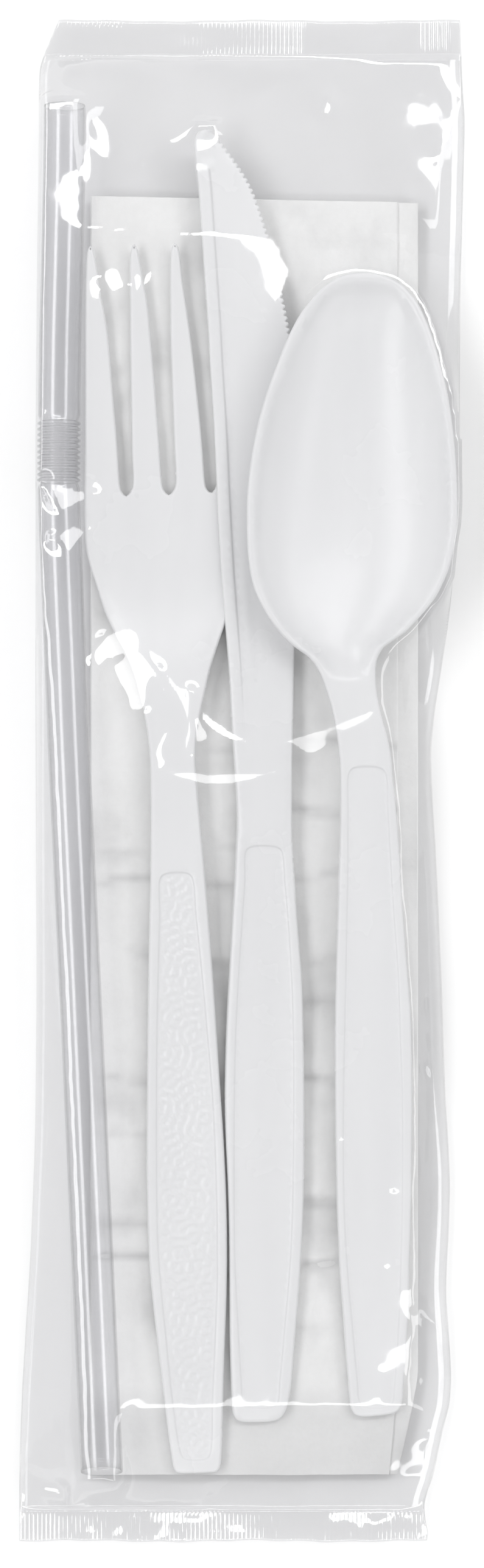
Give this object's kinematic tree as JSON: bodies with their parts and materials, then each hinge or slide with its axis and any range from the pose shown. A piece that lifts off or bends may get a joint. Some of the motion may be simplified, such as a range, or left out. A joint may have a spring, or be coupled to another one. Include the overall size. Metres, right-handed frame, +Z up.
{
  "type": "plastic cutlery pack",
  "caption": "Sealed clear-film pack of disposable cutlery: white plastic fork, knife and spoon, a clear bendy straw and a folded white paper napkin, lying flat on its back.",
  "frame": {"origin": "centre of the footprint, on the surface that the pack lies on", "axes": "X across the pack, +Y along it towards the fork's tines and the knife's point, +Z up out of the pack's front"},
  "size_m": [0.0648, 0.2218, 0.012],
  "materials": {
    "film": "gloss",
    "cutlery": "satin",
    "straw": "gloss",
    "napkin": "matte"
  },
  "bodies": {
    "root": {"film_wrapper": "film", "fork": "cutlery", "knife": "cutlery", "spoon": "cutlery", "straw": "straw", "napkin": "napkin"}
  },
  "joints": []
}
